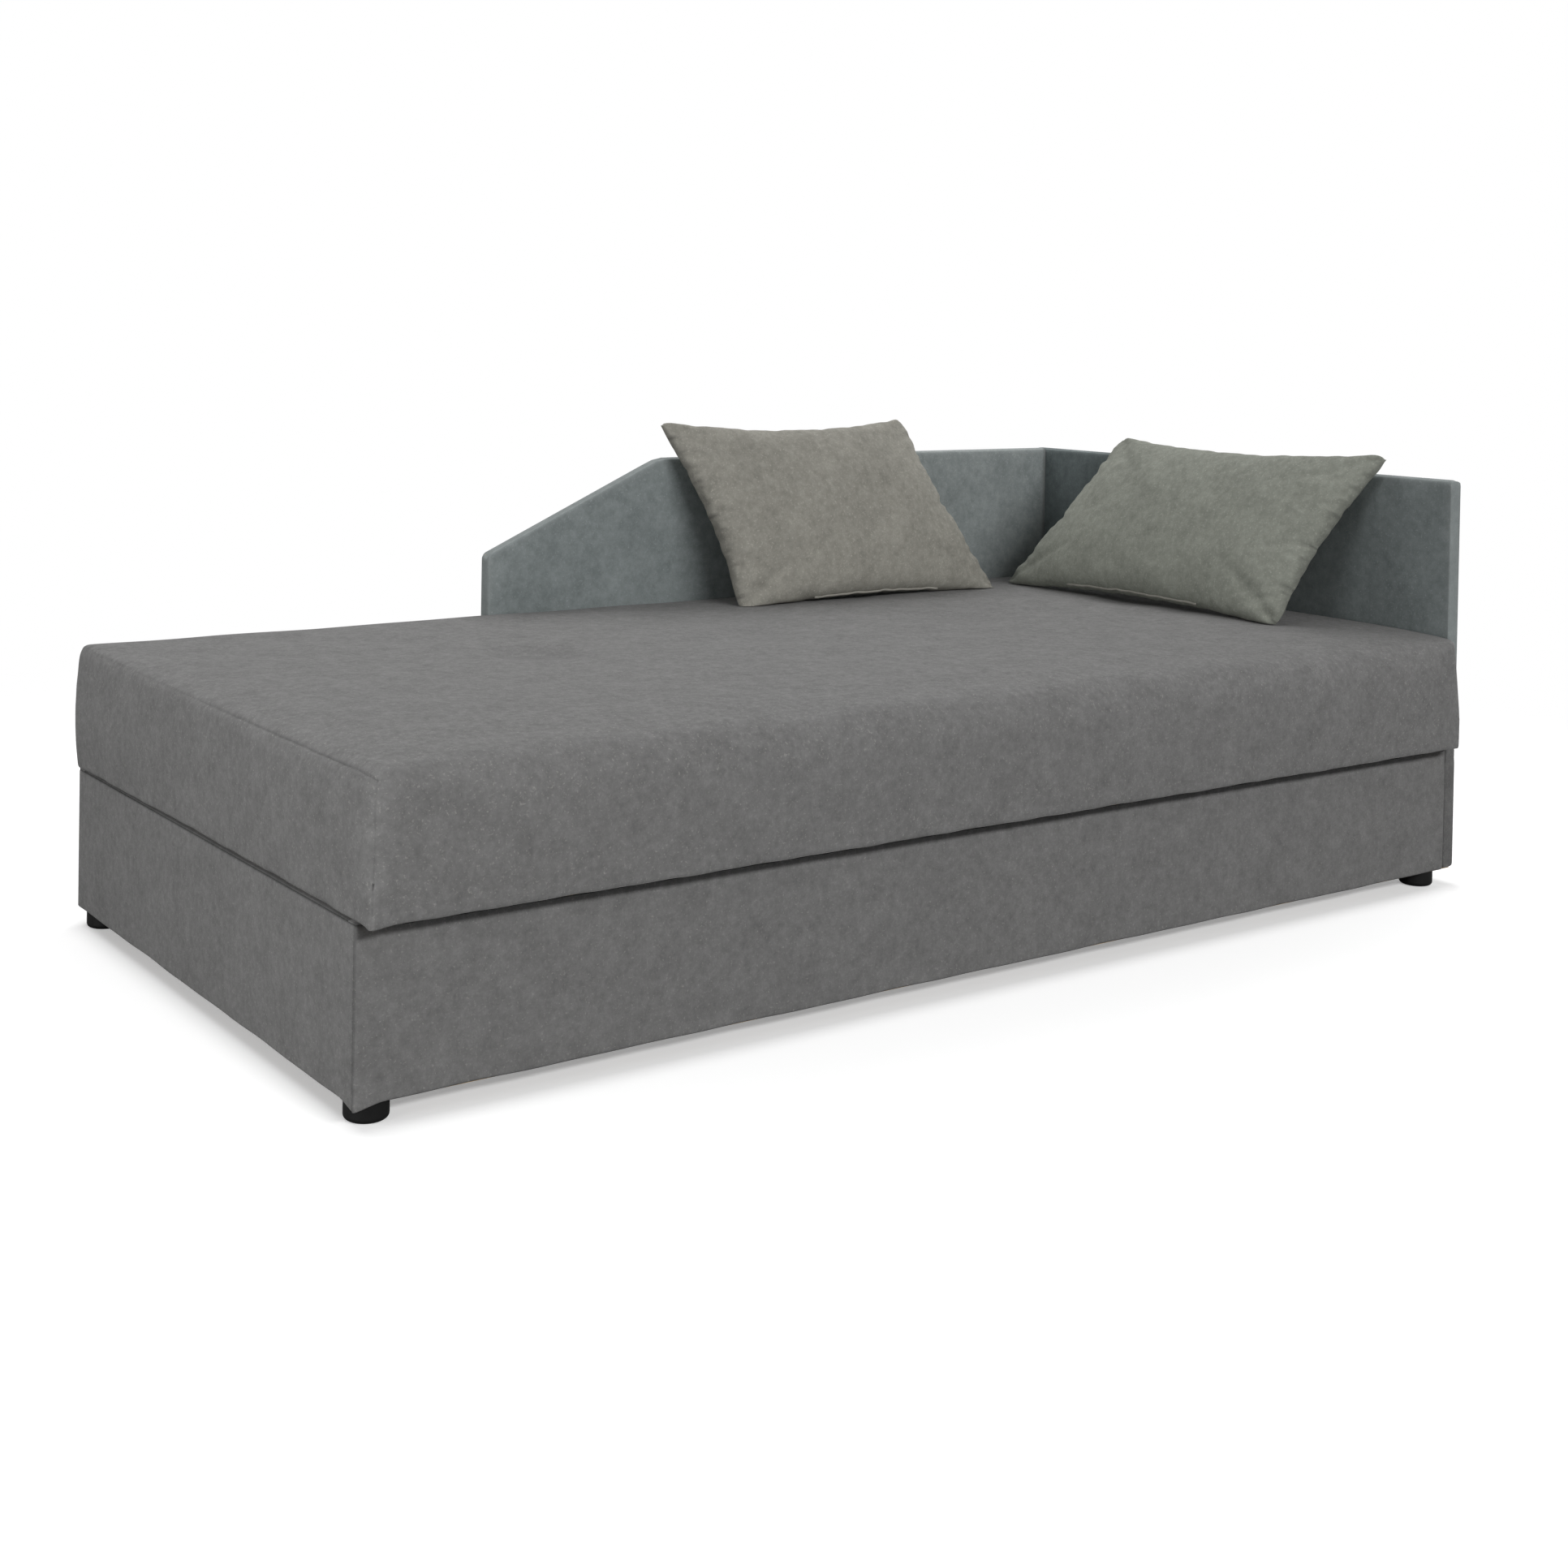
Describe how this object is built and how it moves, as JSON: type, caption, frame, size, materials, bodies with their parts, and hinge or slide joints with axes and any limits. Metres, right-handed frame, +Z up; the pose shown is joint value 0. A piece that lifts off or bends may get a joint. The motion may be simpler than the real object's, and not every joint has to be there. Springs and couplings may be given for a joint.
{
  "type": "daybed",
  "caption": "Upholstered corner daybed with head and back panels, loose cushions and a lift-up lying surface over a bed box.",
  "frame": {"origin": "centre of the footprint on the floor", "axes": "+X along the bed from the foot end to the head end, +Y to the rear, +Z up"},
  "size_m": [2.026, 1.034, 0.742],
  "materials": {
    "grey_fabric": "velvety woven microfibre, mottled mid grey",
    "panel_velvet": "short-pile velvet, blue grey",
    "cushion_fabric": "woven velour, taupe grey",
    "chipboard": "raw pressed chips",
    "hardboard": "smooth brown hardboard",
    "pine": "planed softwood",
    "foam": "open-cell foam",
    "fibre_fill": "white fibre filling",
    "lining_cloth": "black spunbond lining",
    "tie_cord": "twisted cord",
    "leg_plastic": "black moulded plastic",
    "zip_tape": "nylon zip in tape",
    "zinc_steel": "bright zinc plate",
    "fastener_steel": "zinc plated",
    "spring_steel": "oiled spring wire",
    "buffer_rubber": "soft black rubber"
  },
  "bodies": {
    "bed_box": {"box_front_cover": "grey_fabric", "box_foot_cover": "grey_fabric", "box_rear_cover": "grey_fabric", "head_panel_cover": "panel_velvet", "back_panel_cover": "panel_velvet", "box_front_panel": "chipboard", "box_rear_panel": "chipboard", "box_foot_panel": "chipboard", "box_head_panel": "chipboard", "head_panel_core": "chipboard", "back_panel_core": "chipboard", "box_floor_foot_half": "hardboard", "box_floor_head_half": "hardboard", "corner_blocks": "pine", "box_ledgers": "pine", "box_centre_rail": "pine", "leg_front_left": "leg_plastic", "leg_rear_left": "leg_plastic", "leg_front_right": "leg_plastic", "leg_rear_right": "leg_plastic", "fitting_plate_foot": "zinc_steel", "fitting_plate_head": "zinc_steel", "leg_screws": "fastener_steel", "plate_screws": "fastener_steel", "base_pivot_pins": "fastener_steel", "head_panel_bolts": "fastener_steel", "back_panel_bolts": "fastener_steel", "head_panel_nuts": "fastener_steel", "back_panel_nuts": "fastener_steel", "lift_spring_foot": "spring_steel", "lift_spring_head": "spring_steel", "lid_buffers": "buffer_rubber"},
    "rear_arms": {"rear_arm_foot": "zinc_steel", "rear_arm_head": "zinc_steel"},
    "front_arms": {"front_arm_foot": "zinc_steel", "front_arm_head": "zinc_steel"},
    "lid": {"mattress_cover": "grey_fabric", "mattress_core": "foam", "tuft_ties": "tie_cord", "lid_front_rail": "pine", "lid_rear_rail": "pine", "lid_foot_rail": "pine", "lid_head_rail": "pine", "lid_cross_rails": "pine", "lid_lining": "lining_cloth", "lid_deck": "hardboard", "lid_bracket_foot": "zinc_steel", "lid_bracket_head": "zinc_steel", "bracket_screws": "fastener_steel", "lid_pivot_pins": "fastener_steel"},
    "back_cushion": {"back_cushion_cover": "cushion_fabric", "back_cushion_filling": "fibre_fill", "back_cushion_zip": "zip_tape"},
    "head_cushion": {"head_cushion_cover": "cushion_fabric", "head_cushion_filling": "fibre_fill", "head_cushion_zip": "zip_tape"}
  },
  "joints": [
    {"name": "lid_lift", "type": "hinge", "parent": "bed_box", "child": "rear_arms", "pos_m": [0, 0.021, 0.097], "axis": [1, 0, 0], "range_deg": [0, 55], "deforming": ["lift_spring_foot", "lift_spring_head"]},
    {"name": "lid_tilt", "type": "hinge", "parent": "rear_arms", "child": "lid", "pos_m": [0, 0.336, 0.212], "axis": [1, 0, 0], "range_deg": [-69.25, 0.5]},
    {"name": "front_arm_swing", "type": "hinge", "parent": "bed_box", "child": "front_arms", "pos_m": [0, -0.12064, 0.07602], "axis": [1, 0, 0], "range_deg": [-0.5, 52.24]},
    {"name": "back_cushion_lift_off", "type": "slide", "parent": "lid", "child": "back_cushion", "axis": [0, 0, 1], "range_m": [0, 0.5]},
    {"name": "head_cushion_lift_off", "type": "slide", "parent": "lid", "child": "head_cushion", "axis": [0, 0, 1], "range_m": [0, 0.5]}
  ],
  "couplings": [
    {"joint": "lid_tilt", "follows": "lid_lift", "ratio": -1.25},
    {"joint": "front_arm_swing", "follows": "lid_lift", "ratio": 0.94075}
  ]
}
